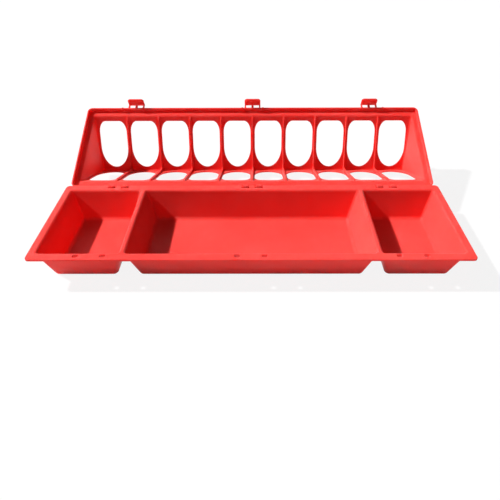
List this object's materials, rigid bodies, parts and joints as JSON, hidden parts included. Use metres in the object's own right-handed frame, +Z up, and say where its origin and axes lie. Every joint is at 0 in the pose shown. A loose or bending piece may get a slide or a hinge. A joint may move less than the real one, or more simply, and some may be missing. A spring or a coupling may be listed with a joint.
{
  "type": "chicken feeding trough",
  "caption": "Red plastic chicken feeding trough with divided compartments and a hinged, pitched lid of arched feeding windows, shown folded open behind it.",
  "frame": {"origin": "centre of the trough's footprint, on the floor that it stands on", "axes": "+X along the trough to the right, -Y towards the front with the latch edge, +Y towards the hinge and the opened lid, +Z up"},
  "size_m": [0.5, 0.2742, 0.1144],
  "materials": {
    "trough": "smooth injection-moulded polypropylene, satin gloss",
    "lid": "smooth injection-moulded polypropylene, satin gloss"
  },
  "bodies": {
    "trough": {"trough": "trough"},
    "lid": {"lid": "lid"}
  },
  "joints": [
    {"name": "lid_hinge", "type": "hinge", "parent": "trough", "child": "lid", "pos_m": [0, 0.0701, 0.04135], "axis": [1, 0, 0], "range_deg": [0, 153.75]}
  ]
}
